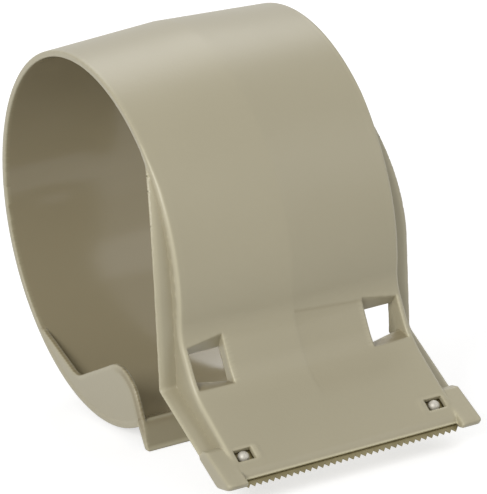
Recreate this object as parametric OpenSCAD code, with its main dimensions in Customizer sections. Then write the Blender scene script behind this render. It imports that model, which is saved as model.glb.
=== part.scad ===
// Hand-held packing tape dispenser: an open spring ring that wraps the tape roll,
// with a front wall that runs down into a nose carrying a toothed steel cutter.
// The ring's axis lies along X, the nose points along -Y and Z is up.

/* [Tape roll] */
// Width of the tape that the dispenser takes
tape_w = 72; // [60:1:80]
// Outside diameter of the largest roll that fits in the ring
roll_d = 115; // [110:1:122]
// Play at each side of the roll
side_play = 1; // [0.5:0.1:2]
// Radial play between the roll and the ring
roll_play = 1.35; // [0.8:0.05:3]

/* [Ring band] */
// Wall of the ring at its two rims
rim_t = 2; // [1.6:0.1:3]
// Extra wall at the middle of the width, from the draft of both mould halves
crown = 1.9; // [0.5:0.1:3]
// Step from the side of the rims in to the tabs and webs
side_step = 0.2; // [0.1:0.05:0.4]
// Small bevel along the outer corner of each rim
rim_bevel = 0.5; // [0.2:0.1:0.8]
// Angle of the line where the band flexes, above the level line at the back
flex_a = 40; // [25:1:55]
// Free gap at the flex line
flex_gap = 0.5; // [0.4:0.05:0.8]
// Angle where the band ends, below the level line at the back
band_end_a = 116; // [114:0.5:118]

/* [Pull lip] */
// Wall of the lip along its lower edge
lip_t = 1.6; // [1.2:0.1:2.5]
// Reach of the lip's foot past the end of the band
lip_cover = 2.3; // [1.8:0.1:3]
// Lean of the lip's front face and of the tabs' front edge from upright
lip_lean_a = 18; // [14:1:21]
// Length of the band that the lip's thick root covers
lip_root = 2.4; // [2:0.1:6]
// Radius of the lip's two lower corners
lip_corner_r = 1.2; // [1:0.1:5]

/* [Side tabs] */
// Wall of the two tabs that keep the roll from sliding out
tab_t = 2; // [1.5:0.1:3]
// Height of the tab's round lobe above the inside of the ring
lobe_h = 18.6; // [14:0.1:21]
// Radius of the tab's round lobe
lobe_r = 12.5; // [11:0.1:15]
// Angle of the middle of the lobe, below the level line at the back
lobe_a = 104; // [102:0.5:106]
// Height of the tab in the valley behind the lobe
valley_h = 4.4; // [3:0.1:11]
// Angle of the valley, below the level line at the back
valley_a = 70; // [66:0.5:78]
// Angle where the tab's tail runs out, below the level line at the back
tail_a = 44; // [28:1:50]

/* [Front wall] */
// Wall of the ramp below the ring
front_t = 3.2; // [2.8:0.1:3.8]
// Angle on the ring where the ramp leaves it, from the level line at the back
crease_a = 197.5; // [195:0.5:199]
// Length of the ramp from the ring to the nose
ramp_l = 15; // [13:0.5:18]
// Lean of the ramp from upright
ramp_a = 23.3; // [20:0.1:28]
// Radius of the hollow bend between ramp and nose
bend_r = 22; // [8:1:26]
// Wall of the two side webs
web_t = 2; // [1.5:0.1:3]

/* [Windows] */
// Width of each window in the ramp
window_w = 12.2; // [8:0.1:16]
// Length of each window, measured along the nose
window_l = 13; // [8:0.1:13.2]
// Drop of each window's sill below the start of the nose
window_low = 0.5; // [0.2:0.1:1]

/* [Side flanges] */
// Overall width across the two flanges
flange_w = 89.2; // [86:0.2:96]
// Wall of the flanges
flange_t = 1.8; // [1.5:0.1:2.4]
// Distance from the ring's axis to the back of the flange
flange_back = 55.3; // [54:0.1:56]
// Radius of the arc in which the flange leaves the rim
flange_r = 66; // [62:1:72]
// Lean of the upright flange from upright
flange_a = 4.35; // [2:0.05:7]
// Drop of the upright flange's lower end below the ring's axis
flange_drop = 34.5; // [31:0.1:37]
// Height above the ring's axis where the flange starts to stand out
flange_top = 36; // [30:1:40]
// Height of the point where the flange has its full width, from the ring's axis
flange_full = -4; // [-8:1:4]
// Height above the ring's axis where the webs run out
web_top = 42; // [40:1:44]
// Depth of the slanted flange's back below the nose's face, at the middle of the lugs
slant_depth = 6; // [5:0.1:7]

/* [Nose] */
// Length of the nose plate
nose_l = 33.4; // [32:0.2:38]
// Slope of the nose plate below level
nose_a = 35.7; // [32:0.1:39]
// Wall of the nose plate over the cutter
nose_t = 2.1; // [1.8:0.1:2.5]
// Length of the rounded edge at the tip of the nose plate
nose_round = 2.7; // [1.5:0.1:4]
// Length of the two guard lugs
lug_l = 18; // [17:0.5:19]
// Reach of the lugs past the edge of the nose plate
lug_reach = 3.2; // [2.6:0.1:4]
// Height of the lugs above the nose plate at their front
lug_rise = 1.3; // [0.8:0.1:2]
// Drop of the lugs below the nose plate at their back
lug_dip = 1; // [0.4:0.1:1.6]
// Height of the lugs' front face
lug_front_h = 1.9; // [1.5:0.1:3]
// Length of the bevel under the front of the lugs
lug_under_l = 5.6; // [3:0.1:7]
// Drop of the lugs' lower edge below the slanted flange
lug_below = 0.3; // [0.2:0.1:0.8]
// Length and drop of the bevel at the back of the lugs
lug_back_bevel = 2.4; // [1:0.1:3]
// Width of each lug
lug_w = 7; // [6.5:0.1:9]
// Radius of the outer corners of the lugs
lug_corner_r = 1.6; // [1.2:0.1:4]

/* [Catch holes] */
// Width of the two catch holes in the nose plate
catch_w = 6.2; // [5:0.1:7]
// Length of the two catch holes, along the nose
catch_l = 4.4; // [4.2:0.1:5.5]
// Distance of each catch hole's middle from the middle of the nose
catch_x = 33.6; // [28:0.1:33.8]
// Distance of each catch hole's middle from the edge of the nose plate
catch_in = 8; // [7:0.1:10]

/* [Cutter] */
// Thickness of the steel cutter
blade_t = 0.8; // [0.5:0.1:1]
// Depth of the cutter from its back edge to its tooth tips
blade_l = 15; // [14:0.5:16]
// Reach of the tooth tips past the edge of the nose plate
tooth_reach = 2.2; // [1.5:0.1:2.4]
// Height of the teeth
tooth_h = 1.2; // [0.8:0.1:1.6]
// Number of teeth
tooth_n = 35; // [25:1:45]
// Depth of the cutter's ends inside the lugs
tang = 2.2; // [1.5:0.1:3]
// Running gap round the cutter in its slot
blade_play = 0.1; // [0.05:0.05:0.2]

/* [Catch studs] */
// Diameter of the round head of each stud
head_d = 3.8; // [3.2:0.1:4]
// Height of the domed part of each stud's head
head_h = 1.8; // [1:0.1:1.9]
// Height of the side of each stud's head, below the dome
head_side = 0.5; // [0.2:0.1:0.8]
// Diameter of each stud's shank
stud_d = 2; // [1.6:0.1:2.4]
// Gap between each stud's shank and its hole in the cutter
stud_play = 0.02; // [0.01:0.01:0.05]
// Gap between each stud's head and the back of its catch hole
head_play = 0.2; // [0.1:0.05:0.3]

/* [Hidden] */
$fn = 96;
arc_steps = 10;
plastic = [0.66, 0.63, 0.53];
steel = [0.47, 0.45, 0.38];
bright_steel = [0.78, 0.76, 0.73];

// Side view helpers: the first value is Y of the part and the second its Z
function polar(r, a) = [r * cos(a), r * sin(a)];
function arc(c, r, a0, a1) = [for (i = [0:arc_steps]) c + polar(r, a0 + (a1 - a0) * i / arc_steps)];
function unit(v) = v / norm(v);

// Ring
ring_w = tape_w + 2 * (side_play + tab_t);
half_w = ring_w / 2;
r_in = roll_d / 2 + roll_play;
r_rim = r_in + rim_t;
r_mid = r_rim + crown;
r_core = r_in + rim_t / 2;
r_flex = (r_in + r_mid) / 2;
flex_half_a = atan(flex_gap / 2 / r_flex);

// Pull lip, whose foot is level with the ring's lowest line
lip_foot = [r_mid * cos(band_end_a) - lip_cover, -r_mid];
lip_dir = [sin(lip_lean_a), cos(lip_lean_a)];
lip_out = [-lip_dir[1], lip_dir[0]];
lip_root_a = band_end_a - atan(lip_root / r_rim);
lip_top_r = r_in + rim_t / 6;
lip_along = -lip_foot * lip_dir;
lip_top = lip_foot + (lip_along - sqrt(lip_along ^ 2 - lip_foot * lip_foot + lip_top_r ^ 2)) * lip_dir;

// Side tab
lobe = polar(r_in - lobe_h + lobe_r, -lobe_a);
valley = polar(r_in - valley_h, -valley_a);
to_lobe = lobe - valley;
slope_a = atan2(to_lobe[1], to_lobe[0]) - asin(lobe_r / norm(to_lobe));
// The slope ends a little inside the lobe's edge
slope_in = 0.97;
slope_end = lobe + slope_in * lobe_r * polar(1, slope_a - 90);
tail = polar(r_in, -tail_a);
// The tab's front edge runs down to the lip, a little behind the lip's front face
tab_behind = 0.2;

// Ramp and nose
ramp_dir = [-sin(ramp_a), -cos(ramp_a)];
nose_dir = [-cos(nose_a), -sin(nose_a)];
nose_up = [-sin(nose_a), cos(nose_a)];
crease = polar(r_mid, crease_a);
bend = crease + ramp_l * ramp_dir;
bend_len = bend_r * tan((90 - ramp_a - nose_a) / 2);
bend_mid = bend + bend_len * nose_dir + bend_r * nose_up;
// The ramp's face carries on upwards until it is inside the rim, and the ring runs into the ramp
ramp_over = crown + rim_t;
ring_over_a = 1.2;

// A point in the nose's own frame: t along the nose from the bend, n out of its face
function nose_pt(t, n) = bend + t * nose_dir + n * nose_up;

// Lugs and cutter slot in the nose's frame
lug_t1 = nose_l + lug_reach;
lug_t0 = lug_t1 - lug_l;
lug_x1 = flange_w / 2;
lug_x0 = lug_x1 - lug_w;
blade_top = -nose_t - blade_play;
blade_t1 = nose_l + tooth_reach;
blade_t0 = blade_t1 - blade_l;
slot_t0 = blade_t0 - blade_play;
slot_bottom = blade_top - blade_t - blade_play;
blade_half = lug_x0 + tang;
tooth_half = lug_x0 - blade_play;
catch_t = nose_l - catch_in;
stud_t = catch_t - catch_l / 2 + head_play + head_d / 2;

// Side flange: an arc, an upright stretch, a knee and a slanted stretch
flange_out = [-cos(flange_a), -sin(flange_a)];
flange_dir = [sin(flange_a), -cos(flange_a)];
knee = flange_back * flange_out
     + (flange_drop + flange_back * flange_out[1]) / cos(flange_a) * flange_dir;
slant_end = nose_pt(lug_t0 + lug_l / 2, -slant_depth);
slant_dir = unit(slant_end - knee);
slant_up = [slant_dir[1], -slant_dir[0]];
knee_out = unit(flange_out + slant_up);
knee_front = knee + flange_t / (knee_out * slant_up) * knee_out;
flange_mid = (flange_back - flange_r) * flange_out;
web_top_a = 180 - asin(web_top / r_core);
web_back_a = 180 - asin((web_top - flange_mid[1]) / flange_r);
web_back_r = flange_r + flange_t / 2;
// The flange's edge seen from the front is an arc that meets the rim and ends inside the web
flange_x0 = half_w - web_t / 2;
flange_stand = flange_w / 2 - half_w;
taper_r = ((flange_top - flange_full) ^ 2 + flange_stand ^ 2) / (2 * flange_stand);
taper_over = 1.1;
taper_end_a = taper_over * asin((flange_top - flange_full) / taper_r);

// A point on the lugs' lower edge, at a distance along the nose
function lug_low(t) =
    slant_end - lug_below * slant_up + (t - lug_t0 - lug_l / 2) / (slant_dir * nose_dir) * slant_dir;

// The ground is level with the ring's lowest line and the origin is at mid-length
front_y = nose_pt(lug_t1, lug_rise)[0];
to_ground = [0, -(front_y + r_mid) / 2, r_mid];

// A side-view outline made into a plate that reaches across the part
module across(width) {
    rotate([90, 0, 90])
        linear_extrude(width, center = true)
            children();
}

// The same on both sides, between two distances from the middle
module both_sides(inner, outer) {
    for (side = [-1, 1])
        translate([side * (inner + outer) / 2, 0, 0])
            across(outer - inner)
                children();
}

// A front-view outline made into a block as deep as the part
module along_depth() {
    rotate([90, 0, 0])
        linear_extrude(6 * r_mid, center = true)
            children();
}

// The nose's own frame: x across, y down along the nose from the bend, z into the part
module on_nose() {
    translate([0, bend[0], bend[1]])
        rotate([180 + nose_a, 0, 0])
            children();
}

// A stretch of the ring, crowned outside and straight inside
module ring_arc(a0, a1) {
    rotate([90, 0, 90])
        rotate([0, 0, a0])
            rotate_extrude(angle = a1 - a0)
                polygon([
                    [r_in, -half_w],
                    [r_rim - rim_bevel, -half_w],
                    [r_rim, rim_bevel - half_w],
                    [r_mid, 0],
                    [r_rim, half_w - rim_bevel],
                    [r_rim - rim_bevel, half_w],
                    [r_in, half_w]
                ]);
}

// Side view of the ramp and the nose plate
module front_outline() {
    polygon(concat(
        [polar(r_in + rim_t / 4, crease_a + ring_over_a / 2), polar(r_core, crease_a - ring_over_a)],
        [crease - ramp_over * ramp_dir],
        arc(bend_mid, bend_r, 360 - ramp_a, 270 + nose_a),
        [nose_pt(nose_l - nose_round, 0), nose_pt(nose_l - nose_round / 3, -nose_t / 5)],
        [nose_pt(nose_l, -nose_t / 2), nose_pt(nose_l, -front_t)],
        arc(bend_mid, bend_r + front_t, 270 + nose_a, 360 - ramp_a)
    ));
}

// Side view of the webs, from inside the front wall to the back of the flanges
module web_outline() {
    polygon(concat(
        arc([0, 0], r_core, web_top_a, crease_a),
        arc(bend_mid, bend_r + front_t / 2, 360 - ramp_a, 270 + nose_a),
        [nose_pt(lug_t0 + lug_l / 2, -front_t / 2), slant_end + flange_t / 2 * slant_up],
        [(knee + knee_front) / 2],
        arc(flange_mid, web_back_r, 180 + flange_a, web_back_a)
    ));
}

// Side view of the flanges: an arc a little flatter than the ring, then upright, then slanted
module flange_outline() {
    polygon(concat(
        arc(flange_mid, flange_r, web_back_a, 180 + flange_a),
        [knee, slant_end, slant_end + flange_t * slant_up, knee_front],
        arc(flange_mid, flange_r + flange_t, 180 + flange_a, web_back_a)
    ));
}

// Front view of the space that the flanges may fill
module flange_front_view() {
    polygon(concat(
        arc([flange_w / 2 - taper_r, flange_full], taper_r, taper_end_a, 0),
        [[flange_w / 2, -2 * r_mid], [-flange_w / 2, -2 * r_mid]],
        arc([taper_r - flange_w / 2, flange_full], taper_r, 180, 180 - taper_end_a)
    ));
}

// Flanges that grow out of the rims and run down to the lugs
module flanges() {
    intersection() {
        both_sides(flange_x0, flange_w)
            flange_outline();
        along_depth()
            flange_front_view();
    }
}

// Side view of the guard lugs, whose lower edge carries on the slanted flange
module lug_outline() {
    polygon([
        lug_low(lug_t0),
        lug_low(lug_t1 - lug_under_l),
        nose_pt(lug_t1, lug_rise - lug_front_h),
        nose_pt(lug_t1, lug_rise),
        nose_pt(lug_t0 + lug_back_bevel, -lug_dip),
        nose_pt(lug_t0, -lug_dip - lug_back_bevel)
    ]);
}

// Both lugs seen square to the nose, with their outer front corners rounded
module lug_plan() {
    for (side = [0, 1])
        mirror([side, 0, 0])
            polygon(concat(
                [[lug_x0, -lug_l], [lug_x0, lug_t1]],
                arc([lug_x1 - lug_corner_r, lug_t1 - lug_corner_r], lug_corner_r, 90, 0),
                [[lug_x1, -lug_l]]
            ));
}

// Guard lugs beside the cutter
module lugs() {
    intersection() {
        across(2 * flange_w)
            lug_outline();
        on_nose()
            linear_extrude(2 * lug_l, center = true)
                lug_plan();
    }
}

// Slot for the cutter, open at the front and below the nose plate
module blade_slot() {
    on_nose()
        translate([0, slot_t0 + lug_l / 2, nose_t]) {
            translate([0, 0, (-slot_bottom - nose_t) / 2])
                cube([2 * (blade_half + blade_play), lug_l, -slot_bottom - nose_t], center = true);
            translate([0, 0, front_t / 2])
                cube([ring_w - 3 * web_t, lug_l, front_t], center = true);
        }
}

// Windows through the ramp and catch holes through the nose plate
module openings() {
    for (side = [0, 1])
        mirror([side, 0, 0])
            on_nose() {
                translate([half_w - web_t - window_w, window_low - window_l, -r_in / 2])
                    cube([window_w, window_l, r_in]);
                translate([catch_x - catch_w / 2, catch_t - catch_l / 2, -nose_t])
                    cube([catch_w, catch_l, 3 * nose_t]);
            }
}

module front_shell() {
    color(plastic)
        difference() {
            union() {
                ring_arc(flex_a + flex_half_a, crease_a + ring_over_a);
                across(ring_w - side_step)
                    front_outline();
                both_sides(half_w - web_t, half_w - side_step)
                    web_outline();
                flanges();
                lugs();
            }
            blade_slot();
            openings();
        }
}

// Side view of a tab: a straight front edge, a round lobe, a valley and a long tail
module tab_outline() {
    intersection() {
        circle(r_core);
        union() {
            translate(lobe)
                circle(lobe_r);
            polygon([lobe, slope_end, valley, tail + (tail - valley) / 4, 2 * valley, 2 * lobe]);
            polygon([lobe, lobe + slope_in * lobe_r * lip_out, lip_foot - tab_behind * lip_out, 2 * lobe]);
        }
    }
}

// Side view of the lip that turns down at the free end
module lip_outline() {
    polygon([
        polar(lip_top_r, -lip_root_a),
        lip_top,
        lip_foot,
        lip_foot + [lip_t, 0],
        polar(r_core, -lip_root_a)
    ]);
}

// Front view of the lip, with its lower corners rounded
module lip_front() {
    polygon(concat(
        [[half_w, 0]],
        arc([half_w - lip_corner_r, lip_corner_r - r_mid], lip_corner_r, 0, -90),
        arc([lip_corner_r - half_w, lip_corner_r - r_mid], lip_corner_r, -90, -180),
        [[-half_w, 0]]
    ));
}

module spring_band() {
    color(plastic)
        union() {
            ring_arc(-band_end_a, flex_a - flex_half_a);
            both_sides(half_w - tab_t, half_w - side_step)
                tab_outline();
            intersection() {
                across(flange_w)
                    lip_outline();
                along_depth()
                    lip_front();
            }
        }
}

// Cutter seen square to the nose, with its tangs and its row of teeth
module blade_outline() {
    root = blade_t1 - tooth_h;
    pitch = 2 * tooth_half / tooth_n;
    polygon(concat(
        [[-blade_half, blade_t0], [blade_half, blade_t0], [blade_half, nose_l], [tooth_half, nose_l]],
        [for (i = [0:tooth_n - 1], step = [0, 0.5])
            [tooth_half - (i + step) * pitch, step == 0 ? root : blade_t1]],
        [[-tooth_half, root], [-tooth_half, nose_l], [-blade_half, nose_l]]
    ));
}

module cutter_blade() {
    color(steel)
        on_nose()
            translate([0, 0, -blade_top])
                linear_extrude(blade_t)
                    difference() {
                        blade_outline();
                        for (side = [-1, 1])
                            translate([side * catch_x, stud_t])
                                circle(d = stud_d + 2 * stud_play);
                    }
}

// One stud: a round head on the cutter and a shank through it
module catch_stud() {
    head_r = (head_h ^ 2 + head_d ^ 2 / 4) / (2 * head_h);
    intersection() {
        translate([0, 0, head_side + head_h - head_r])
            sphere(head_r);
        translate([0, 0, head_d])
            cube(2 * head_d, center = true);
    }
    translate([0, 0, -blade_t])
        cylinder(h = blade_t + head_h / 2, d = stud_d);
}

module catch_studs() {
    color(bright_steel)
        for (side = [-1, 1])
            on_nose()
                translate([side * catch_x, stud_t, -blade_top])
                    mirror([0, 0, 1])
                        catch_stud();
}

translate(to_ground) front_shell();
translate(to_ground) spring_band();
translate(to_ground) cutter_blade();
translate(to_ground) catch_studs();
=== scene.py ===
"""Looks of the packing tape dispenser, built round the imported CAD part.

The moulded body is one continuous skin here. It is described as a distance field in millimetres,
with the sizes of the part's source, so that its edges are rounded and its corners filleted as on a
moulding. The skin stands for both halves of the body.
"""
import math

import bpy
import numpy as np
from mathutils import Matrix, Vector

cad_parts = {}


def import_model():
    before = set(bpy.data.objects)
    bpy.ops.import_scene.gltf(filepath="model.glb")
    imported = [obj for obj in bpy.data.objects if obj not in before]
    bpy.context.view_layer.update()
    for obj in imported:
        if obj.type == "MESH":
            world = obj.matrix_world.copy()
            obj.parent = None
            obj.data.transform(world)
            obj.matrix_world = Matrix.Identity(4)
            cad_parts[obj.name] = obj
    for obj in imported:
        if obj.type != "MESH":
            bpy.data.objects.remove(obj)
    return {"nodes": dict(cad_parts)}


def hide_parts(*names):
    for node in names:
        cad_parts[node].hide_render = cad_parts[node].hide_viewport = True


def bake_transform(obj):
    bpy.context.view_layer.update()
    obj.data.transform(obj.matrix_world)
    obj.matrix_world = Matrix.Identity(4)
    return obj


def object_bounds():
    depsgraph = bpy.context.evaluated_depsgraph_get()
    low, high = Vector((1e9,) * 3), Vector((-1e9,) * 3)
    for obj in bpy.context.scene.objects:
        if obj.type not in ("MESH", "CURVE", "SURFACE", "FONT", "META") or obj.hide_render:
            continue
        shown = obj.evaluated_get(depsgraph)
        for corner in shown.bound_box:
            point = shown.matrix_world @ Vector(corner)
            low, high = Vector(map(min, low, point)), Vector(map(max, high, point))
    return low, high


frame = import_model()
cad_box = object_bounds()
scene = bpy.context.scene
MM = 0.001

# Where the ring's axis is in the part's frame, in mm: y and z
AXIS_Y, AXIS_Z = 16.7549, 62.75

# Ring: angles are in degrees from +Y, upwards round the ring, and downwards for the band's free end
HALF_W, R_IN, R_RIM, R_MID = 39.0, 58.85, 60.85, 62.75
CREASE_A, BORE_END_A, BAND_END_A = 197.5, 199.3, 116.0
RIM_ROUND, BORE_ROUND = 0.35, 0.35

# Ramp and nose
RAMP_L, RAMP_A, RAMP_CROWN, CREASE_SOFT = 15.0, 23.3, 1.3, 3.0
BEND_R, BEND_IN_A, FRONT_T, WALL_T = 22.0, 318.0, 3.2, 4.2
NOSE_L, NOSE_A, NOSE_T, NOSE_ROUND = 33.4, 35.7, 2.1, 2.3

# Webs at the sides, and the ridges that run down above them
WEB_T, WEB_TOP, WEB_GROW = 2.0, 42.0, 4.0
RIDGE_ROUND, RIDGE_FADE, RIDGE_BACK = 1.5, 12.0, -34.0

# Windows with sloping heads, and sills that rise behind the face towards the webs
WINDOW_W, WINDOW_L, WINDOW_LOW, WINDOW_DEPTH, HOLE_ROUND = 12.2, 13.0, 0.5, 14.0, 0.2
HEADER_SLOPE, HEADER_FROM, HEADER_FADE = 0.1, 3.0, 4.0
SILL_OUT, SILL_DIP, SILL_REACH = 0.72, math.tan(math.radians(9)), 1.2
GUSSET_T, GUSSET_L, GUSSET_RISE, GUSSET_IN, GUSSET_FILLET = 1.5, 5.4, 2.2, 1.0, 0.2

# Catch holes, with a low bead beside each
CATCH_W, CATCH_L, CATCH_X, CATCH_T = 6.2, 4.4, 33.6, 25.4
BEAD_H, BEAD_W, BEAD_L, BEAD_OFF = 0.28, 0.7, 2.6, 1.6

# A panel right of the middle that lies a little deeper, from the windows' heads to the nose
PANEL_X, PANEL_DEPTH, PANEL_STEP, PANEL_END, PANEL_FADE, PANEL_LEAN = 0.1, 0.12, 0.3, 14.0, 6.0, 1.0

# Flanges
FLANGE_W, FLANGE_T, FLANGE_BACK, FLANGE_R, FLANGE_A = 89.2, 1.8, 55.3, 66.0, 4.35
FLANGE_DROP, FLANGE_TOP, FLANGE_FULL, SLANT_DEPTH = 34.5, 36.0, -4.0, 6.0
KNEE_ROUND, FLANGE_ROUND, FLANGE_FILLET = 1.2, 0.45, 0.15
FLANGE_BEVEL, FLANGE_BEVEL_W, FLANGE_BEVEL_ROUND = 0.7, 2.2, 0.4

# Lugs and the cutter's slot
LUG_L, LUG_T1, LUG_RISE, LUG_DIP, LUG_FRONT_H = 18.0, 36.6, 1.3, 1.0, 1.9
LUG_UNDER_L, LUG_BELOW, LUG_BACK_BEVEL, LUG_X0, LUG_CORNER_R = 5.6, 0.3, 2.4, 37.6, 1.6
LUG_SIDE_ROUNDS, LUG_INNER_ROUND = [0.6, 3, 0.9, 0.8, 1.2, 0.8], 0.6
LUG_ROUND, LUG_FILLET = 0.7, 0.35
SLOT_T0, SLOT_BOTTOM, SLOT_HALF, SLOT_WEBS = 20.5, -3.1, 39.9, 1.5

# Tabs: a straight front edge, a round lobe, a valley and a tail, with angles like the free end's
TAB_T, SIDE_STEP, TAB_SINK, TAB_ROUND, TAB_FILLET = 2.0, 0.2, 0.2, 0.25, 0.15
LOBE_H, LOBE_R, LOBE_A, LOBE_START_A, TAB_FRONT_L = 18.6, 12.5, 104.0, 174.0, 15.0
VALLEY_H, VALLEY_A, VALLEY_R, TAIL_A = 4.4, 70.0, 8.0, 44.0
TAB_BEVEL, TAB_BEVEL_W, FORE_BEVEL, FORE_BEVEL_W = 0.3, 0.5, 0.45, 2.3
FORE_FADE, FORE_LOW_FADE, TAIL_OVER, TAIL_FADE, TAB_BEVEL_ROUND = 5.0, 8.0, 1.0, 3.0, 0.3

# Pull lip, and the limits of the region round the band's free end
LIP_T, LIP_COVER, LIP_LEAN_A, LIP_ROOT, LIP_CORNER_R = 1.6, 2.3, 18.0, 2.4, 1.2
LIP_ROUND, LIP_SOFT = 0.35, 0.7
END_FORE, END_BACK, END_TOP = 3.0, -8.0, -34.0

# Radii well inside and well outside the part, and an overrun, for outlines that close out of sight
INSIDE_R, GAP_R, OUTSIDE_R, OVERRUN = 30.0, 20.0, 150.0, 20.0

# Grid of the skin: wide steps across the middle, where the body runs straight, and fine ones elsewhere
GRID_STEP, QUICK_STEP = 0.52, 1.0
MIDDLE_STEPS, SIDE_START = [0.3, 1.0, 2.2, 4.5, 7.5, 11.0, 14.5, 18.0, 21.5], 23.3
SIDE_MARGIN, MARGIN = 1.5, 2.0
SLOPE_STEP, LEAST_SLOPE, MOVE_LIMIT, CORNER_HOLD, SHARP_A = 0.02, 0.25, 0.3, 0.03, 32.0
ARC_STEPS = 24


def polar(r, degrees):
    a = math.radians(degrees)
    return np.array([r * math.cos(a), r * math.sin(a)])


def arc(c, r, a0, a1, steps=ARC_STEPS):
    return [np.asarray(c) + polar(r, a0 + (a1 - a0) * i / steps) for i in range(steps + 1)]


def unit(v):
    return np.asarray(v) / np.linalg.norm(v)


def rounded(points, radii, steps=6):
    """A closed outline with each corner replaced by an arc of up to its own radius."""
    pts = [np.asarray(p, float) for p in points]
    out = []
    for i, p in enumerate(pts):
        a, b = pts[i - 1] - p, pts[(i + 1) % len(pts)] - p
        la, lb = np.linalg.norm(a), np.linalg.norm(b)
        a, b = a / la, b / lb
        half = math.acos(np.clip(a @ b, -1, 1)) / 2
        if radii[i] <= 0 or half > math.radians(89):
            out.append(p)
            continue
        reach = min(radii[i] / math.tan(half), 0.49 * la, 0.49 * lb)
        r = reach * math.tan(half)
        mid = p + unit(a + b) * r / math.sin(half)
        s, e = p + a * reach - mid, p + b * reach - mid
        a0, a1 = math.atan2(s[1], s[0]), math.atan2(e[1], e[0])
        turn = (a1 - a0 + math.pi) % (2 * math.pi) - math.pi
        angles = [a0 + turn * k / steps for k in range(steps + 1)]
        out += [mid + r * np.array([math.cos(v), math.sin(v)]) for v in angles]
    return out


# Points of the side view, y and z from the ring's axis
RAMP_DIR = np.array([-math.sin(math.radians(RAMP_A)), -math.cos(math.radians(RAMP_A))])
NOSE_DIR = -polar(1, NOSE_A)
NOSE_UP = np.array([NOSE_DIR[1], -NOSE_DIR[0]])
CREASE = polar(R_MID, CREASE_A)
BEND = CREASE + RAMP_L * RAMP_DIR
BEND_LEN = BEND_R * math.tan(math.radians((90 - RAMP_A - NOSE_A) / 2))
BEND_MID = BEND + BEND_LEN * NOSE_DIR + BEND_R * NOSE_UP
LUG_T0 = LUG_T1 - LUG_L
R_CORE = (R_IN + R_RIM) / 2


def nose_pt(t, n):
    """A point in the nose's own frame: t along the nose from the bend, n out of its face."""
    return BEND + t * NOSE_DIR + n * NOSE_UP


SILL = nose_pt(WINDOW_LOW, SILL_OUT)
FLANGE_OUT, FLANGE_DIR = -polar(1, FLANGE_A), polar(1, FLANGE_A - 90)
KNEE = (FLANGE_BACK * FLANGE_OUT
        + (FLANGE_DROP + FLANGE_BACK * FLANGE_OUT[1]) / math.cos(math.radians(FLANGE_A)) * FLANGE_DIR)
SLANT_END = nose_pt(LUG_T0 + LUG_L / 2, -SLANT_DEPTH)
SLANT_DIR = unit(SLANT_END - KNEE)
SLANT_UP = np.array([SLANT_DIR[1], -SLANT_DIR[0]])
KNEE_OUT = unit(FLANGE_OUT + SLANT_UP)
KNEE_FRONT = KNEE + FLANGE_T / (KNEE_OUT @ SLANT_UP) * KNEE_OUT
FLANGE_MID = (FLANGE_BACK - FLANGE_R) * FLANGE_OUT
FLANGE_TOP_A = 180 - math.degrees(math.asin((WEB_TOP - FLANGE_MID[1]) / FLANGE_R))
FLANGE_STAND = FLANGE_W / 2 - HALF_W
TAPER_R = ((FLANGE_TOP - FLANGE_FULL) ** 2 + FLANGE_STAND ** 2) / (2 * FLANGE_STAND)
LOBE = polar(R_IN - LOBE_H + LOBE_R, -LOBE_A)
VALLEY = polar(R_IN - VALLEY_H, -VALLEY_A)
TAIL = polar(R_IN, -TAIL_A)
LIP_FOOT = np.array([R_MID * math.cos(math.radians(BAND_END_A)) - LIP_COVER, -R_MID])
LIP_OUT = polar(1, 180 - LIP_LEAN_A)
LIP_DIR = np.array([LIP_OUT[1], -LIP_OUT[0]])
LIP_ROOT_A = BAND_END_A - math.degrees(math.atan(LIP_ROOT / R_RIM))
LIP_TOP_R = R_IN + (R_RIM - R_IN) / 6
LIP_ALONG = -LIP_FOOT @ LIP_DIR
LIP_L = LIP_ALONG - math.sqrt(LIP_ALONG ** 2 - LIP_FOOT @ LIP_FOOT + LIP_TOP_R ** 2)
LIP_TOP = LIP_FOOT + LIP_L * LIP_DIR
LIP_OVER = unit(LIP_OUT - unit(LIP_TOP))


def lug_low(t):
    """A point on the lugs' lower edge, at a distance along the nose."""
    return (SLANT_END - LUG_BELOW * SLANT_UP
            + (t - LUG_T0 - LUG_L / 2) / (SLANT_DIR @ NOSE_DIR) * SLANT_DIR)


def tab_edge():
    """The tab's edge: straight in front, down to the lip, then a round lobe, a valley and a long tail."""
    to_lobe = LOBE - VALLEY
    slope = math.atan2(to_lobe[1], to_lobe[0]) - math.asin(LOBE_R / np.linalg.norm(to_lobe))
    end_a = (math.degrees(slope) - 90) % 360
    lobe = ([LIP_FOOT, LIP_FOOT + TAB_FRONT_L * LIP_DIR]
            + arc(LOBE, LOBE_R, LOBE_START_A - LIP_LEAN_A, end_a, 40))
    body = lobe + [VALLEY, TAIL + (TAIL - VALLEY) / 4, 2 * VALLEY, 2 * LOBE]
    return rounded(body, [0] * len(lobe) + [VALLEY_R, 0, 0, 0], 10)


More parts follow.
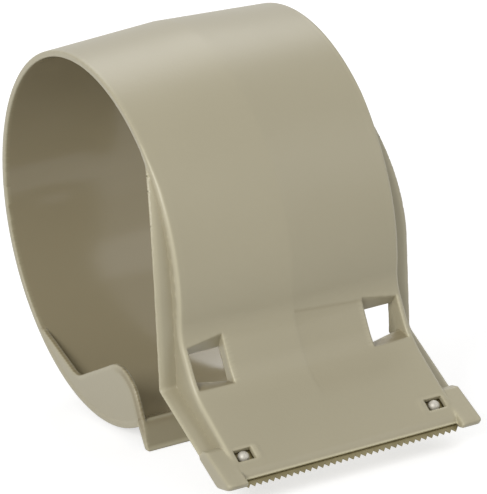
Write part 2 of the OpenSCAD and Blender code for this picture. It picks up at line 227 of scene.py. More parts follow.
# Outlines of the side view
OUTER_FACE = ([CREASE - OVERRUN * RAMP_DIR] + arc(BEND_MID, BEND_R, 360 - RAMP_A, 270 + NOSE_A)
              + [nose_pt(NOSE_L - NOSE_ROUND, 0), nose_pt(NOSE_L - NOSE_ROUND / 3, -NOSE_T / 3),
                 nose_pt(NOSE_L, -NOSE_T * 0.65), nose_pt(NOSE_L, -FRONT_T)])
INNER_FACE = (arc(BEND_MID, BEND_R + FRONT_T, 270 + NOSE_A, BEND_IN_A)
              + [BEND - WALL_T * NOSE_UP * 0.2 + [WALL_T, 0], polar(R_IN, BORE_END_A),
                 polar(R_IN - 3, BORE_END_A - 1)])
FRONT = OUTER_FACE + INNER_FACE[:-1] + [polar(INSIDE_R, CREASE_A), polar(INSIDE_R, 150)]
BEHIND = (INNER_FACE[::-1]
          + [nose_pt(NOSE_L + OVERRUN, -FRONT_T), polar(OUTSIDE_R, 225),
             polar(OUTSIDE_R, 360 - BAND_END_A), polar(GAP_R, 360 - BAND_END_A)])
WEB = (arc((0, 0), R_CORE, 180 - math.degrees(math.asin(WEB_TOP / R_CORE)), CREASE_A)
       + arc(BEND_MID, BEND_R + FRONT_T / 2, 360 - RAMP_A, 270 + NOSE_A)
       + [nose_pt(LUG_T0 + LUG_L / 2, -FRONT_T / 2), SLANT_END + FLANGE_T / 2 * SLANT_UP,
          (KNEE + KNEE_FRONT) / 2]
       + arc(FLANGE_MID, FLANGE_R + FLANGE_T / 2, 180 + FLANGE_A, FLANGE_TOP_A))
FLANGE = rounded(arc(FLANGE_MID, FLANGE_R, FLANGE_TOP_A, 180 + FLANGE_A)
                 + [KNEE, SLANT_END, SLANT_END + FLANGE_T * SLANT_UP, KNEE_FRONT]
                 + arc(FLANGE_MID, FLANGE_R + FLANGE_T, 180 + FLANGE_A, FLANGE_TOP_A),
                 [0] * (ARC_STEPS + 1) + [KNEE_ROUND, 0, 0, KNEE_ROUND] + [0] * (ARC_STEPS + 1))
LUG = rounded([lug_low(LUG_T0), lug_low(LUG_T1 - LUG_UNDER_L),
               nose_pt(LUG_T1, LUG_RISE - LUG_FRONT_H), nose_pt(LUG_T1, LUG_RISE),
               nose_pt(LUG_T0 + LUG_BACK_BEVEL, -LUG_DIP), nose_pt(LUG_T0, -LUG_DIP - LUG_BACK_BEVEL)],
              LUG_SIDE_ROUNDS)
LUG_PLAN = rounded([(LUG_X0, -LUG_L), (LUG_X0, LUG_T1), (FLANGE_W / 2, LUG_T1), (FLANGE_W / 2, -LUG_L)],
                   [0, LUG_INNER_ROUND, LUG_CORNER_R, 0])
LIP = [polar(LIP_TOP_R, -LIP_ROOT_A), LIP_TOP, LIP_FOOT, LIP_FOOT + [LIP_T, 0], polar(R_CORE, -LIP_ROOT_A)]
TAB = tab_edge()

# How near a point must be to an outline's box for its true distance to be worked out
NEAR = 9.0


# Distances: negative inside, in mm
def outline_distance(y, z, points):
    """Signed distance to a closed outline, for arrays of any shape, and a bound to it where it is far off."""
    lo, hi = np.min(points, 0), np.max(points, 0)
    y, z = np.broadcast_arrays(y, z)
    far = np.hypot(np.maximum(np.maximum(lo[0] - y, y - hi[0]), 0),
                   np.maximum(np.maximum(lo[1] - z, z - hi[1]), 0))
    near = far < NEAR
    y, z = y[near], z[near]
    best = np.full(y.shape, 1e9)
    inside = np.zeros(y.shape, bool)
    for a, b in zip(points, points[1:] + points[:1]):
        e = b - a
        length = e @ e
        if length < 1e-12:
            continue
        wy, wz = y - a[0], z - a[1]
        t = np.clip((wy * e[0] + wz * e[1]) / length, 0, 1)
        best = np.minimum(best, (wy - e[0] * t) ** 2 + (wz - e[1] * t) ** 2)
        if e[1]:
            inside ^= ((a[1] > z) != (b[1] > z)) & (wy < e[0] * wz / e[1])
    far[near] = np.where(inside, -1, 1) * np.sqrt(best)
    return far


def both(a, b, r):
    """What two bodies share, with an edge rounded to that radius."""
    return np.minimum(-r, np.maximum(a, b)) + np.hypot(np.maximum(r + a, 0), np.maximum(r + b, 0))


def either(a, b, k):
    """Two bodies as one, with a soft fillet of about that size where they meet."""
    h = np.maximum(k - np.abs(a - b), 0) / k
    return np.minimum(a, b) - h * h * k / 4


def rise(value, start, width):
    """0 up to the start, and 1 from that width after it."""
    return np.clip((value - start) / width, 0, 1)


def fall(value, end, width):
    """1 up to that width before the end, and 0 from the end on."""
    return np.clip((end - value) / width, 0, 1)


def filled_front(x, y, z, t):
    """The ring's outside and the front face as one filled body, with a wide fillet at the crease."""
    slope = (R_MID - R_RIM) / HALF_W
    disc = (np.hypot(y, z) - R_MID + slope * x) / math.hypot(1, slope)
    crown = RAMP_CROWN * fall(x, HALF_W, HALF_W) * rise(z, BEND[1], RAMP_L)
    from_bead = (x - CATCH_X + CATCH_W / 2 + BEAD_OFF) / BEAD_W
    bead = BEAD_H * np.exp(-from_bead ** 2 - ((t - CATCH_T) / BEAD_L) ** 4)
    return either(disc, outline_distance(y, z, FRONT) - crown - bead, CREASE_SOFT)


def walls(x, y, z, t):
    """The ring, the front wall, and the webs that carry their sides down to the flanges."""
    filled = filled_front(x, y, z, t)
    ridge = fall(z, WEB_TOP, RIDGE_FADE) * (y < RIDGE_BACK)
    body = both(filled, x - HALF_W, RIM_ROUND + (RIDGE_ROUND - RIM_ROUND) * ridge)
    hollow = np.minimum(np.hypot(y, z) - R_IN, outline_distance(y, z, BEHIND))
    body = both(body, -hollow, BORE_ROUND)
    web_side = outline_distance(y, z, WEB)
    web = both(np.minimum(filled, web_side - WEB_GROW), x - HALF_W, RIDGE_ROUND)
    web = np.maximum(np.maximum(web, HALF_W - WEB_T - x), web_side)
    return np.minimum(body, web)


def flanges(x, y, z):
    """The side flanges, which narrow in an arc towards their top and have a bevel in front."""
    taper = np.where(z > FLANGE_FULL,
                     np.hypot(x - FLANGE_W / 2 + TAPER_R, z - FLANGE_FULL) - TAPER_R, x - FLANGE_W / 2)
    side = outline_distance(y, z, FLANGE)
    flange = both(side, np.maximum(taper, HALF_W - WEB_T / 2 - x), FLANGE_ROUND)
    bevel = FLANGE_BEVEL_W * side + FLANGE_BEVEL * (taper + FLANGE_BEVEL_W)
    return both(flange, bevel / math.hypot(FLANGE_BEVEL, FLANGE_BEVEL_W), FLANGE_BEVEL_ROUND)


def cutter_slot(x, t, n):
    """The slot for the cutter, and the open space below it between the webs."""
    slot = np.maximum(np.maximum(SLOT_T0 - t, x - SLOT_HALF),
                      np.abs(n - (SLOT_BOTTOM - NOSE_T) / 2) + (SLOT_BOTTOM + NOSE_T) / 2)
    under = np.maximum(np.maximum(SLOT_T0 - t, x - HALF_W + SLOT_WEBS * WEB_T),
                       np.abs(n + NOSE_T + FRONT_T / 2) - FRONT_T / 2)
    return np.minimum(slot, under)


def window_place(x, y, z):
    """Share of a window's width from its web, depth behind the face, and height above the rising sill."""
    across = (x - HALF_W + WEB_T) / WINDOW_W
    deep = y - SILL[0]
    climb = GUSSET_RISE * np.clip(across + 1, 0, SILL_REACH) * np.clip(deep / GUSSET_L, 0, 1)
    return across, deep, z - SILL[1] + SILL_DIP * deep - climb


def window_and_gusset(x, y, z, t, n):
    """A window's opening, and the gusset whose top is its sill."""
    across, deep, level = window_place(x, y, z)
    head = (WINDOW_LOW - WINDOW_L - t
            + HEADER_SLOPE * WINDOW_W * (across + 0.5) * rise(n, HEADER_FROM, HEADER_FADE))
    span = np.abs(across + 0.5) * WINDOW_W - WINDOW_W / 2
    window = np.maximum(span, np.maximum(head, -level))
    window = np.maximum(window, np.maximum(np.abs(n) - R_IN / 2, deep - WINDOW_DEPTH))
    gusset = np.maximum(np.maximum(level, -level - GUSSET_T),
                        np.abs(deep - GUSSET_L / 2 - GUSSET_IN) - GUSSET_L / 2 + GUSSET_IN)
    return window, np.maximum(gusset, span - GUSSET_IN)


def catch_hole(x, t, n):
    catch = np.maximum(np.abs(x - CATCH_X) - CATCH_W / 2, np.abs(t - CATCH_T) - CATCH_L / 2)
    return np.maximum(catch, np.abs(n) - 2 * NOSE_T)


def with_free_end(body, x, y, z):
    """The body with the pull lip, which has a soft upper edge, and the tabs at the band's free end."""
    r = np.hypot(y, z)
    corner = np.hypot(np.maximum(x - HALF_W + LIP_CORNER_R, 0), np.maximum(-z - R_MID + LIP_CORNER_R, 0))
    lip = both(outline_distance(y, z, LIP), corner - LIP_CORNER_R, LIP_ROUND)
    body = np.minimum(body, lip)
    over = (y - LIP_TOP[0]) * LIP_OVER[0] + (z - LIP_TOP[1]) * LIP_OVER[1] + LIP_SOFT
    free_end = (y > LIP_FOOT[0] - END_FORE) & (y < END_BACK) & (z < END_TOP)
    body = np.where(free_end, both(body, over, LIP_SOFT), body)
    edge = outline_distance(y, z, TAB)
    tab = both(np.maximum(edge, r - R_RIM + TAB_SINK),
               np.abs(x - HALF_W + (TAB_T + SIDE_STEP) / 2) - (TAB_T - SIDE_STEP) / 2, TAB_ROUND)
    # The tabs' bevel is wide in front, and the band's end and the lip share it there
    fore = fall(y, END_BACK, FORE_FADE)
    cut = TAB_BEVEL + (FORE_BEVEL - TAB_BEVEL) * fore
    back = TAB_BEVEL_W + (FORE_BEVEL_W - TAB_BEVEL_W) * fore
    fade = np.where(fore > 0, rise(z, -R_MID, FORE_LOW_FADE), fall(r, R_IN + TAIL_OVER, TAIL_FADE))
    bevel = (cut * edge + back * (x - HALF_W + SIDE_STEP + cut * fade)) / np.hypot(cut, back)
    body = either(body, both(tab, bevel, TAB_BEVEL_ROUND), TAB_FILLET)
    return np.where(free_end, both(body, bevel, TAB_BEVEL_ROUND), body)


def body_distance(x, y, z):
    """Signed distance to the moulded body. x is across, y and z are from the ring's axis."""
    x = np.abs(x)
    t = (y - BEND[0]) * NOSE_DIR[0] + (z - BEND[1]) * NOSE_DIR[1]
    n = (y - BEND[0]) * NOSE_UP[0] + (z - BEND[1]) * NOSE_UP[1]
    body = walls(x, y, z, t)
    body = either(body, flanges(x, y, z), FLANGE_FILLET)
    lug = both(outline_distance(y, z, LUG), outline_distance(x, t, LUG_PLAN), LUG_ROUND)
    body = either(body, lug, LUG_FILLET)
    body = np.maximum(body, -cutter_slot(x, t, n))
    window, gusset = window_and_gusset(x, y, z, t, n)
    body = both(body, -window, HOLE_ROUND)
    body = either(body, gusset, GUSSET_FILLET)
    body = both(body, -catch_hole(x, t, n), HOLE_ROUND)
    body = with_free_end(body, x, y, z)
    return np.maximum(body, x - FLANGE_W / 2)


def gradient(p, at):
    """How the distance changes along each axis at points where its value is known."""
    g = np.stack([body_distance(*(p + SLOPE_STEP * e).T) for e in np.eye(3)], 1) - at[:, None]
    return g / SLOPE_STEP


# Skin of the body
def skin(field, xs, ys, zs):
    """Points and faces of the surface where the field changes sign, and which points are in the middle.

    Each cell has one point. It lies as near as it can to the tangent planes at the places where the surface
    cuts the cell's edges, so that the points in a row along an edge of the body lie on that edge. The first
    cells across are those in the middle.
    """
    axes, s = (xs, ys, zs), field < 0
    cells = tuple(n - 1 for n in field.shape)
    corners = [tuple(slice(d, d + n) for d, n in zip(c, cells)) for c in np.ndindex(2, 2, 2)]
    count = sum(s[c].astype(np.int8) for c in corners)
    place = np.nonzero((count > 0) & (count < 8))
    index = np.full(cells, -1)
    index[place] = np.arange(len(place[0]))
    hits, mean = np.zeros(len(place[0])), np.zeros((len(place[0]), 3))
    planes, offs = np.zeros((len(place[0]), 3, 3)), np.zeros((len(place[0]), 3))
    faces = []
    for axis in range(3):
        b, c = (axis + 1) % 3, (axis + 2) % 3
        lo, hi = [slice(None)] * 3, [slice(None)] * 3
        lo[axis], hi[axis] = slice(0, -1), slice(1, None)
        lo, hi = tuple(lo), tuple(hi)
        at = np.stack(np.nonzero(s[lo] != s[hi]), 1)
        at = at[(at[:, b] > 0) & (at[:, c] > 0) & (at[:, b] < cells[b]) & (at[:, c] < cells[c])]
        f0, f1 = field[lo][tuple(at.T)], field[hi][tuple(at.T)]
        p = np.stack([axes[i][at[:, i]] for i in range(3)], 1)
        p[:, axis] += f0 / (f0 - f1) * (axes[axis][at[:, axis] + 1] - p[:, axis])
        value = body_distance(*p.T)
        g = gradient(p, value)
        g /= np.maximum(np.linalg.norm(g, axis=1), 1e-6)[:, None]
        along = (p * g).sum(1) - np.clip(value, -MOVE_LIMIT, MOVE_LIMIT)
        ring = []
        for db, dc in ((1, 1), (0, 1), (0, 0), (1, 0)):
            q = at.copy()
            q[:, b] -= db
            q[:, c] -= dc
            cell = index[tuple(q.T)]
            ring.append(cell)
            hits += np.bincount(cell, minlength=len(hits))
            for i in range(3):
                mean[:, i] += np.bincount(cell, p[:, i], len(hits))
                offs[:, i] += np.bincount(cell, g[:, i] * along, len(hits))
                for j in range(3):
                    planes[:, i, j] += np.bincount(cell, g[:, i] * g[:, j], len(hits))
        quad = np.stack(ring, 1)
        out = s[lo][tuple(at.T)]
        faces.append(np.where(out[:, None], quad, quad[:, ::-1]))
    hits = np.maximum(hits, 1)
    mean /= hits[:, None]
    rest = offs - (planes @ mean[:, :, None])[:, :, 0]
    hold = CORNER_HOLD * hits[:, None, None] * np.eye(3)
    points = mean + np.linalg.solve(planes + hold, rest[:, :, None])[:, :, 0]
    for i in range(3):
        points[:, i] = np.clip(points[:, i], axes[i][place[i]], axes[i][place[i] + 1])
    return points, np.concatenate(faces), place[0] == 0


def samples():
    """Sample planes of the three axes, on one side of the body and just across its middle."""
    step = GRID_STEP
    side = np.arange(SIDE_START, FLANGE_W / 2 + SIDE_MARGIN, step)
    xs = np.concatenate([[-MIDDLE_STEPS[0]], MIDDLE_STEPS, side])
    ys = np.arange(nose_pt(LUG_T1, LUG_RISE)[0] - MARGIN, R_MID + MARGIN, step)
    zs = np.arange(-R_MID - MARGIN, R_MID + MARGIN, step)
    return xs, ys, zs


def half_skin():
    """Points and faces of one side of the body, with the points in its middle at x = 0."""
    xs, ys, zs = samples()
    field = body_distance(xs[:, None, None], ys[None, :, None], zs[None, None, :])
    points, faces, middle = skin(field, xs, ys, zs)
    points[middle, 0] = 0
    # Each point is drawn onto the surface
    limit = MOVE_LIMIT
    for _ in range(2):
        at = body_distance(*points.T)
        g = gradient(points, at)
        move = at[:, None] * g / np.maximum((g * g).sum(1), LEAST_SLOPE)[:, None]
        points = points - np.clip(move, -limit, limit)
        points[middle, 0] = 0
        limit /= 2
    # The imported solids' facets lie a little inside the true curves, and so does the skin
    points[:, 1:] = np.clip(points[:, 1:], *(np.array(cad_box)[:, 1:] / MM - [AXIS_Y, AXIS_Z]))
    return points, faces, middle


def mirrored(points, faces, middle):
    """Both sides of the body, which share the points in the middle."""
    twin = np.where(middle, np.arange(len(points)), len(points) + np.cumsum(~middle) - 1)
    points = np.concatenate([points, points[~middle] * [-1, 1, 1]])
    return points, np.concatenate([faces, twin[faces[:, ::-1]]])


def below_panel_top(points):
    """Distance along the nose from the panel's upper edge, which runs from a window's head to the middle."""
    top = WINDOW_LOW - WINDOW_L - PANEL_LEAN * (1 - np.abs(points[:, 0]) / HALF_W)
    return (points[:, 1:] - BEND) @ NOSE_DIR - top


def panel(points):
    """How far each point belongs to the deeper panel on the front's right half, from 0 to 1."""
    t = (points[:, 1:] - BEND) @ NOSE_DIR
    down = rise(below_panel_top(points), 0, PANEL_STEP) * fall(t, PANEL_END, PANEL_FADE)
    across = (points[:, 0] > PANEL_X) * fall(points[:, 0], HALF_W - WEB_T, WINDOW_W)
    face = outline_distance(points[:, 1], points[:, 2], FRONT) > -FRONT_T / 3
    return down * across * face


def moulded_body():
    """The moulded body's mesh object, in metres in the part's frame."""
    points, faces = mirrored(*half_skin())
    points[:, 1:] -= PANEL_DEPTH * panel(points)[:, None] * NOSE_UP
    mesh = bpy.data.meshes.new("moulded_body")
    mesh.from_pydata(((points + [0, AXIS_Y, AXIS_Z]) * MM).tolist(), [], faces.tolist())
    mesh.polygons.foreach_set("use_smooth", [True] * len(faces))
    mesh.update()
    crisp_corners(points, faces, mesh)
    # Painted highlights along the edges
    mark(mesh, "edge", painted_edge_highlights(points, faces, mesh))
    # Painted shade in the ring's inside, which is also smoother
    mark(mesh, "bore", in_bore(points))
    # Painted shade, and a darker panel on the front
    mark(mesh, "shade", shaded(points, np.abs(normals_of(mesh)[:, 0])))
    body = bpy.data.objects.new("moulded_body", mesh)
    scene.collection.objects.link(body)
    return body


def crisp_corners(points, faces, mesh):
    """Marks the inside corners of the moulding as sharp, so that no light line runs along them."""
    pairs = np.sort(np.concatenate([faces[:, [k, (k + 1) % 4]] for k in range(4)]), 1)
    owner = np.tile(np.arange(len(faces)), 4)
    key = pairs[:, 0] * len(points) + pairs[:, 1]
    order = np.argsort(key, kind="stable")
    key, owner = key[order], owner[order]
    first = np.nonzero(key[:-1] == key[1:])[0]
    a, b = owner[first], owner[first + 1]
    flat = np.cross(points[faces[:, 2]] - points[faces[:, 0]], points[faces[:, 3]] - points[faces[:, 1]])
    flat /= np.maximum(np.linalg.norm(flat, axis=1), 1e-9)[:, None]
    centre = points[faces].mean(1)
    hollow = ((centre[b] - centre[a]) * flat[a]).sum(1) > 0
    turned = (flat[a] * flat[b]).sum(1) < math.cos(math.radians(SHARP_A))
    wanted = key[first[hollow & turned]]
    ends = np.zeros(len(mesh.edges) * 2, np.int64)
    mesh.edges.foreach_get("vertices", ends)
    ends = np.sort(ends.reshape(-1, 2), 1)
    sharp = np.isin(ends[:, 0] * len(points) + ends[:, 1], wanted)
    mesh.attributes.new("sharp_edge", "BOOLEAN", "EDGE").data.foreach_set("value", sharp)


# Marks that paint highlights and shade into the plastic's colours: strengths from 0 to 1, and widths in mm.
# A point's lean is how much its normal points sideways, from 0 to 1.
EDGE_GAIN, EDGE_FLOOR, EDGE_SPREAD = 2.6, 0.2, 0.6
SOFT_LIP, SOFT_LIP_W = 0.8, 1.5
NOSE_LINE, NOSE_LINE_N, NOSE_LINE_W = 2.5, -0.75 * NOSE_T, 0.5
RIDGE_LINE, RIDGE_LEAN, RIDGE_LEAN_W = 0.7, 0.55, 0.28
RIDGE_X, RIDGE_X_W, RIDGE_SINK, RIDGE_N, FRONT_BACK = 35.5, 0.5, 1.0, -1.2, -20.0
FLANGE_LINE, FLANGE_LINE_X, FLANGE_LINE_R, FLANGE_LINE_LOW = 0.35, HALF_W + 0.4, R_RIM + 4, -40.0
FLANGE_LEAN, FLANGE_LEAN_W = 0.15, 0.1
BORE_NEAR, BORE_FADE, BORE_SIDE = 0.4, 0.3, 0.3
PULL_SHADE, PULL_TOP_SHADE, PULL_TOP_W = 0.29, 0.3, 2.2
PULL_DEPTH, PULL_FADE, PULL_LEAN, LEAN_FADE, PULL_FORE = 0.5, 0.3, 0.8, 0.2, 2.0
STRIP_SHADE, STRIP_BACK, STRIP_BACK_W, STRIP_LOW, STRIP_LOW_W = 0.6, -10.0, 6.0, -61.0, 5.0
STRIP_OVER, STRIP_FADE, STRIP_SIDE, STRIP_LEAN = 0.2, 0.5, 0.3, 0.75
TAIL_START, TAIL_START_W, TAIL_NEAR, TAIL_NEAR_W, TAIL_EDGE, TAIL_SIDE = 12.0, 5.0, 0.3, 0.6, 0.8, 0.1
SILL_SHADE, SILL_FROM, SILL_TO, SILL_PEAK, SILL_FALL = 0.6, 0.4, 8.0, 1.4, 2.0
PANEL_SHADE, PANEL_LINE, PANEL_LINE_W = 0.08, 0.2, 0.35


def normals_of(mesh):
    normals = np.zeros(len(mesh.vertices) * 3, np.float32)
    mesh.vertices.foreach_get("normal", normals)
    return normals.reshape(-1, 3)


def mark(mesh, name, values):
    """A value for each point that the material reads."""
    mesh.attributes.new(name, "FLOAT", "POINT").data.foreach_set("value", values.astype(np.float32))


def close_to(points, place, width):
    """1 at a place of the side view, and less the further a point is from it."""
    return np.exp(-((points[:, 1:] - place) ** 2).sum(1) / width ** 2)


def bulge(points, faces, mesh):
    """How far each point stands out from its neighbours, in parts of their distance."""
    total, length = np.zeros_like(points), np.zeros(len(points))
    for k in range(4):
        a, b = faces[:, k], faces[:, (k + 1) % 4]
        d = points[b] - points[a]
        np.add.at(total, a, d)
        np.add.at(length, a, np.linalg.norm(d, axis=1))
    out = -(total * normals_of(mesh)).sum(1)
    return out / np.maximum(length, 1e-9)


def painted_edge_highlights(points, faces, mesh):
    """Painted highlights on edges: all that bulge, the nose's front edge, the ridges and the flanges."""
    edge = np.clip(bulge(points, faces, mesh) * EDGE_GAIN - EDGE_FLOOR, 0, 1)
    for _ in range(2):
        wide = edge.copy()
        for k in range(4):
            np.maximum.at(wide, faces[:, k], EDGE_SPREAD * edge[faces[:, (k + 1) % 4]])
        edge = wide
    lean = np.abs(normals_of(mesh)[:, 0])
    x, (y, z) = np.abs(points[:, 0]), points[:, 1:].T
    r = np.hypot(y, z)
    edge *= 1 - SOFT_LIP * close_to(points, LIP_TOP, SOFT_LIP_W) * (x < HALF_W - TAB_T)
    nose_line = NOSE_LINE * close_to(points, nose_pt(NOSE_L, NOSE_LINE_N), NOSE_LINE_W) * (x < LUG_X0)
    n = (points[:, 1:] - BEND) @ NOSE_UP
    outside = (r > R_RIM - RIDGE_SINK) & (y < FRONT_BACK) & (z < WEB_TOP) & (n > RIDGE_N)
    ridge_line = RIDGE_LINE * np.exp(-((lean - RIDGE_LEAN) / RIDGE_LEAN_W) ** 2) * outside
    ridge_line *= rise(x, RIDGE_X, RIDGE_X_W) * (x < HALF_W)
    flange_line = FLANGE_LINE * (x > FLANGE_LINE_X) * (r < FLANGE_LINE_R) * (z > FLANGE_LINE_LOW)
    flange_line = flange_line * rise(lean, FLANGE_LEAN, FLANGE_LEAN_W)
    return np.maximum(np.maximum(edge, nose_line), np.maximum(ridge_line, flange_line))


def in_bore(points):
    """1 on the inside of the ring, and 0 elsewhere."""
    r = np.hypot(points[:, 1], points[:, 2])
    inside = fall(r, R_IN + BORE_NEAR, BORE_FADE) * (r > R_IN - BORE_NEAR)
    return inside * (np.abs(points[:, 0]) < HALF_W - BORE_SIDE)


def shaded(points, lean):
    """Darker places: painted shade on the pull lip's face, the tabs' edges and the windows' sills, and
    the front's panel.
    """
    x, (y, z) = np.abs(points[:, 0]), points[:, 1:].T
    r = np.hypot(y, z)
    # Painted shade on the face of the pull lip, deeper at its upper edge
    at_end = (y > LIP_FOOT[0] - PULL_FORE) * (z < END_TOP)
    fore = (points[:, 1:] - LIP_FOOT) @ LIP_OUT
    pull = rise(fore, -PULL_DEPTH, PULL_FADE) * at_end * fall(lean, PULL_LEAN, LEAN_FADE)
    pull *= PULL_SHADE + PULL_TOP_SHADE * close_to(points, LIP_TOP, PULL_TOP_W)
    # Painted shade on the tabs' front edges, which run on from it
    from_edge = outline_distance(y, z, TAB)
    tab = at_end * (x > HALF_W - TAB_T - STRIP_SIDE) * fall(y, STRIP_BACK, STRIP_BACK_W)
    tab = tab * rise(z, STRIP_LOW, STRIP_LOW_W) * rise(from_edge, -FORE_BEVEL_W - STRIP_OVER, STRIP_FADE)
    turned = fall(lean, STRIP_LEAN, LEAN_FADE)
    strip = STRIP_SHADE * tab * (1 + turned * np.clip((LIP_TOP_R - r) / STRIP_FADE, -1, 1))
    # Painted shade on the edges of the tabs' tails
    tail = turned * (x > HALF_W - TAB_T - TAIL_SIDE) * (from_edge > -TAIL_EDGE)
    tail = tail * fall(r, R_IN - TAIL_NEAR, TAIL_NEAR_W) * rise(y, TAIL_START, TAIL_START_W)
    # Painted shadow on the windows' sills
    across, deep, level = window_place(x, y, z)
    sill = (np.abs(across + 0.5) < 0.5) * (deep > SILL_FROM) * (deep < SILL_TO)
    sill = SILL_SHADE * sill * np.clip(SILL_PEAK - SILL_FALL * np.abs(level), 0, 1)
    # The panel on the front, a little darker, with a fine line of painted shade along its upper edge
    sunk = panel(points)
    line = np.exp(-((below_panel_top(points) - PANEL_STEP) / PANEL_LINE_W) ** 2) * np.sign(sunk)
    sunk = PANEL_SHADE * sunk + PANEL_LINE * line * (x < HALF_W - WEB_T - WINDOW_W)
    return np.max([pull, strip, tail, sill, sunk], 0)


# Materials: colours are linear, and the grain's depth is in metres
PLASTIC, PLASTIC_LIGHT = (0.380, 0.343, 0.236, 1), (0.410, 0.370, 0.257, 1)
# Painted shade colours: for the ring's inside, and for the shaded places
BORE_SHADE_TINT, SHADE_TINT = (0.305, 0.262, 0.166, 1), (0.21, 0.165, 0.085, 1)
# Colour of the painted highlights along edges
EDGE_HIGHLIGHT_TINT = (0.55, 0.505, 0.35, 1)
MOTTLE_SCALE, GRAIN_SCALE, GRAIN_DEPTH = 28.0, 900.0, 0.0003
ROUGH, BORE_ROUGH, GLOSS, BORE_GLOSS, GRAIN, BORE_GRAIN = 0.38, 0.13, 0.5, 0.38, 0.12, 0.02
CUTTER, CUTTER_LIGHT = (0.185, 0.158, 0.085, 1), (0.32, 0.28, 0.165, 1)
STUD, STUD_LIGHT = (0.50, 0.47, 0.41, 1), (0.60, 0.57, 0.50, 1)
FLOOR_GREY, FLOOR_GLOW, AMBIENT = (0.62, 0.62, 0.62, 1), 0.62, 0.42


def material(name):
    m = bpy.data.materials.new(name)
    m.use_nodes = True
    tree = m.node_tree
    return m, tree, tree.nodes["Principled BSDF"]


def link(tree, a, b):
    tree.links.new(a, b)


def noise(tree, coord, scale):
    n = tree.nodes.new("ShaderNodeTexNoise")
    n.inputs["Scale"].default_value = scale
    n.inputs["Detail"].default_value = 3.0
    link(tree, coord, n.inputs["Vector"])
    return n.outputs["Fac"]


def value_of(tree, name):
    node = tree.nodes.new("ShaderNodeAttribute")
    node.attribute_name = name
    return node.outputs["Fac"]


def mixed(tree, factor, a, b):
    """A colour between two, by a factor. Each is a colour or another node's output."""
    node = tree.nodes.new("ShaderNodeMix")
    node.data_type = "RGBA"
    node.clamp_factor = False
    link(tree, factor, node.inputs["Factor"])
    for socket, value in ((node.inputs[6], a), (node.inputs[7], b)):
        if isinstance(value, tuple):
            socket.default_value = value
        else:
            link(tree, value, socket)
    return node.outputs[2]


def spread(tree, factor, low, high):
    """A number that goes from low to high as the factor goes from 0 to 1."""
    node = tree.nodes.new("ShaderNodeMapRange")
    node.inputs["To Min"].default_value, node.inputs["To Max"].default_value = low, high
    link(tree, factor, node.inputs["Value"])
    return node.outputs["Result"]


def plastic():
    """The moulding's plastic: mottled a little, grained outside, smoother and with painted shade in the bore.
    """
    m, tree, shader = material("moulded_plastic")
    coord = tree.nodes.new("ShaderNodeTexCoord").outputs["Object"]
    tint = mixed(tree, noise(tree, coord, MOTTLE_SCALE), PLASTIC, PLASTIC_LIGHT)
    # Painted shade in the ring's inside
    tint = mixed(tree, value_of(tree, "bore"), tint, BORE_SHADE_TINT)
    # Painted shade, and the front's panel a little darker
    tint = mixed(tree, value_of(tree, "shade"), tint, SHADE_TINT)
    # Painted highlights along edges
    tint = mixed(tree, value_of(tree, "edge"), tint, EDGE_HIGHLIGHT_TINT)
    link(tree, tint, shader.inputs["Base Color"])
    link(tree, spread(tree, value_of(tree, "bore"), ROUGH, BORE_ROUGH), shader.inputs["Roughness"])
    link(tree, spread(tree, value_of(tree, "bore"), GLOSS, BORE_GLOSS), shader.inputs["Specular IOR Level"])
    bump = tree.nodes.new("ShaderNodeBump")
    link(tree, spread(tree, value_of(tree, "bore"), GRAIN, BORE_GRAIN), bump.inputs["Strength"])
    bump.inputs["Distance"].default_value = GRAIN_DEPTH
    link(tree, noise(tree, coord, GRAIN_SCALE), bump.inputs["Height"])
    link(tree, bump.outputs["Normal"], shader.inputs["Normal"])
    return m


def metal(name, dark, light, metallic, roughness, scale):
    """A mottled metal between two colours."""
    m, tree, shader = material(name)
    coord = tree.nodes.new("ShaderNodeTexCoord").outputs["Object"]
    ramp = tree.nodes.new("ShaderNodeValToRGB")
    ramp.color_ramp.elements[0].color, ramp.color_ramp.elements[1].color = dark, light
    link(tree, noise(tree, coord, scale), ramp.inputs["Fac"])
    link(tree, ramp.outputs["Color"], shader.inputs["Base Color"])
    shader.inputs["Metallic"].default_value = metallic
    shader.inputs["Roughness"].default_value = roughness
    return m


def dress(obj, m):
    obj.data.materials.clear()
    obj.data.materials.append(m)


# Stage
def seen(tree):
    """1 where the surface is seen by the camera, in a mirror or through glass, and 0 where it gives light."""
    path = tree.nodes.new("ShaderNodeLightPath")
    total = path.outputs["Is Camera Ray"]
    for kind in ("Is Glossy Ray", "Is Transmission Ray"):
        most = tree.nodes.new("ShaderNodeMath")
        most.operation = "MAXIMUM"
        link(tree, total, most.inputs[0])
        link(tree, path.outputs[kind], most.inputs[1])
        total = most.outputs[0]
    return total


def floor():
    """A plain pale floor that is seen as white and keeps the object's shadow."""
    bpy.ops.mesh.primitive_plane_add(size=12)
    plane = bpy.context.object
    plane.name = "floor"
    m, tree, shader = material("floor")
    shader.inputs["Base Color"].default_value = FLOOR_GREY
    shader.inputs["Roughness"].default_value = 0.9
    shader.inputs["Specular IOR Level"].default_value = 0.0
    glow = tree.nodes.new("ShaderNodeEmission")
    total = tree.nodes.new("ShaderNodeAddShader")
    level = tree.nodes.new("ShaderNodeMath")
    level.operation = "MULTIPLY"
    level.inputs[1].default_value = FLOOR_GLOW
    link(tree, seen(tree), level.inputs[0])
    link(tree, level.outputs[0], glow.inputs["Strength"])
    link(tree, shader.outputs[0], total.inputs[0])
    link(tree, glow.outputs[0], total.inputs[1])
    link(tree, total.outputs[0], tree.nodes["Material Output"].inputs["Surface"])
    dress(plane, m)


# The photograph's camera, fitted to the ring's rims and the windows: its place in mm, its axes, its focal
# length and the middle of its picture in pixels, and the picture's size
CAMERA_PLACE = (-621.26, -1232.89, 514.29)
CAMERA_RIGHT, CAMERA_UP = (0.87620, -0.47565, -0.07768), (0.21596, 0.24339, 0.94558)
FOCAL, MIDDLE_X, MIDDLE_Y, PHOTO_W, PHOTO_H = 4608.47, 243.49, 249.59, 487, 494


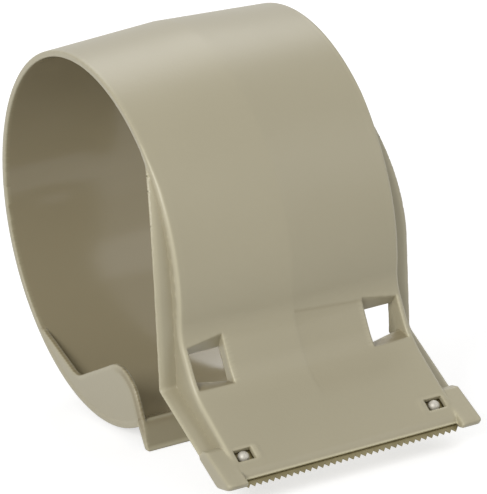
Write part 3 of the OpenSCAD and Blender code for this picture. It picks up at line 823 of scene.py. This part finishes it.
def camera():
    """The photograph's camera, turned a little so that its axis meets the middle of the picture."""
    data = bpy.data.cameras.new("camera")
    cam = bpy.data.objects.new("camera", data)
    scene.collection.objects.link(cam)
    right, up = Vector(CAMERA_RIGHT), Vector(CAMERA_UP)
    aim = right * (PHOTO_W / 2 - MIDDLE_X) - up * (PHOTO_H / 2 - MIDDLE_Y) - right.cross(up) * FOCAL
    back = -aim.normalized()
    right = up.cross(back).normalized()
    up = back.cross(right)
    turned = Matrix((right, up, back)).transposed().to_4x4()
    cam.matrix_world = Matrix.Translation(Vector(CAMERA_PLACE) * MM) @ turned
    data.sensor_fit = "AUTO"
    data.sensor_width = 36.0
    data.lens = FOCAL * data.sensor_width / PHOTO_H
    data.clip_start, data.clip_end = 0.01, 100
    scene.camera = cam


def light(name, place, aim, size, power):
    """A round soft lamp, with its place, aim and size in metres."""
    data = bpy.data.lights.new(name, "AREA")
    data.shape, data.size, data.energy = "DISK", size, power
    lamp = bpy.data.objects.new(name, data)
    scene.collection.objects.link(lamp)
    lamp.location = place
    lamp.rotation_mode = "QUATERNION"
    lamp.rotation_quaternion = (Vector(aim) - Vector(place)).to_track_quat("-Z", "Y")


def world():
    """A white background that gives less light than it shows."""
    w = bpy.data.worlds.new("studio")
    scene.world = w
    w.use_nodes = True
    tree = w.node_tree
    level = tree.nodes.new("ShaderNodeMath")
    level.operation = "MULTIPLY_ADD"
    link(tree, seen(tree), level.inputs[0])
    level.inputs[1].default_value = 1 - AMBIENT
    level.inputs[2].default_value = AMBIENT
    tree.nodes["Background"].inputs["Color"].default_value = (1, 1, 1, 1)
    link(tree, level.outputs[0], tree.nodes["Background"].inputs["Strength"])


# The moulded body, for both halves, in place of the imported front shell and spring band
body = moulded_body()
dress(body, plastic())
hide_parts("front_shell", "spring_band")
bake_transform(body)

blade, studs = frame["nodes"]["cutter_blade"], frame["nodes"]["catch_studs"]
dress(blade, metal("cutter_steel", CUTTER, CUTTER_LIGHT, metallic=1.0, roughness=0.34, scale=300))
dress(studs, metal("stud_steel", STUD, STUD_LIGHT, metallic=0.35, roughness=0.52, scale=400))

floor()
camera()
world()
light("key", place=(-1.15, -0.75, 0.8), aim=(0, 0, 0.05), size=0.7, power=14)
light("back", place=(0.38, 0.62, 1.0), aim=(0, 0, 0.06), size=0.7, power=3.4)
light("fill", place=(0.9, -0.9, 0.7), aim=(0, 0, 0.05), size=0.9, power=2)
scene.view_settings.view_transform = "Standard"
